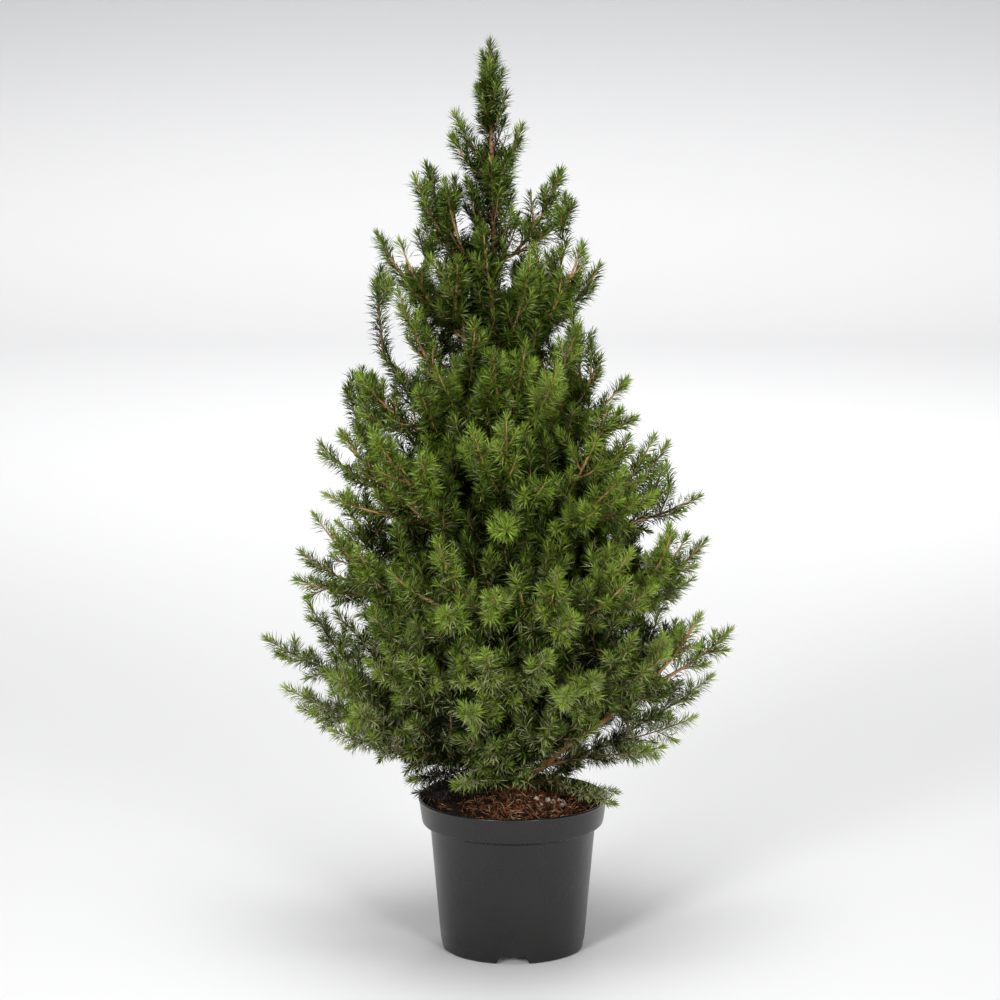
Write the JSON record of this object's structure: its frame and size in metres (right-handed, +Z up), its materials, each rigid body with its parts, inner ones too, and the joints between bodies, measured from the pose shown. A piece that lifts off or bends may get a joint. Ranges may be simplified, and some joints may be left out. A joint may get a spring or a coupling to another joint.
{
  "type": "potted alberta spruce",
  "caption": "Young Alberta spruce, a narrow cone of short needled shoots round one leaning trunk, in a round black nursery pot.",
  "frame": {"origin": "middle of the flat underside of the pot, on the surface it stands on", "axes": "+Z up along the pot's axis, -Y the front, +X to the right"},
  "size_m": [0.4586, 0.3975, 0.908],
  "materials": {
    "pot_plastic": "satin",
    "peat": "matte",
    "bark": "matte",
    "needles": "matte"
  },
  "bodies": {
    "root": {"bough_low_back_left": "bark", "bough_low_back_right": "bark", "bough_low_front": "bark", "bough_low_front_left": "bark", "bough_low_front_right": "bark", "bough_low_left": "bark", "bough_low_right": "bark", "bough_middle_back": "bark", "bough_middle_front_left": "bark", "bough_middle_front_right": "bark", "bough_middle_left": "bark", "bough_middle_right": "bark", "bough_skirt_back_left": "bark", "bough_skirt_back_right": "bark", "bough_skirt_front": "bark", "bough_skirt_front_left": "bark", "bough_skirt_front_right": "bark", "bough_skirt_left": "bark", "bough_skirt_right": "bark", "foliage_high_back": "needles", "foliage_high_front": "needles", "foliage_high_left": "needles", "foliage_high_right": "needles", "foliage_leader": "needles", "foliage_low_back_left": "needles", "foliage_low_back_right": "needles", "foliage_low_front": "needles", "foliage_low_front_left": "needles", "foliage_low_front_right": "needles", "foliage_low_left": "needles", "foliage_low_right": "needles", "foliage_middle_back": "needles", "foliage_middle_front_left": "needles", "foliage_middle_front_right": "needles", "foliage_middle_left": "needles", "foliage_middle_right": "needles", "foliage_shoulder_back": "needles", "foliage_shoulder_front": "needles", "foliage_shoulder_front_left": "needles", "foliage_shoulder_front_right": "needles", "foliage_shoulder_left": "needles", "foliage_shoulder_right": "needles", "foliage_skirt_back_left": "needles", "foliage_skirt_back_right": "needles", "foliage_skirt_front": "needles", "foliage_skirt_front_left": "needles", "foliage_skirt_front_right": "needles", "foliage_skirt_left": "needles", "foliage_skirt_right": "needles", "foliage_top_left": "needles", "foliage_top_right": "needles", "foliage_upper_back": "needles", "foliage_upper_front_left": "needles", "foliage_upper_front_right": "needles", "foliage_upper_left": "needles", "foliage_upper_right": "needles", "pot": "pot_plastic", "soil": "peat", "trunk": "bark"}
  },
  "joints": []
}
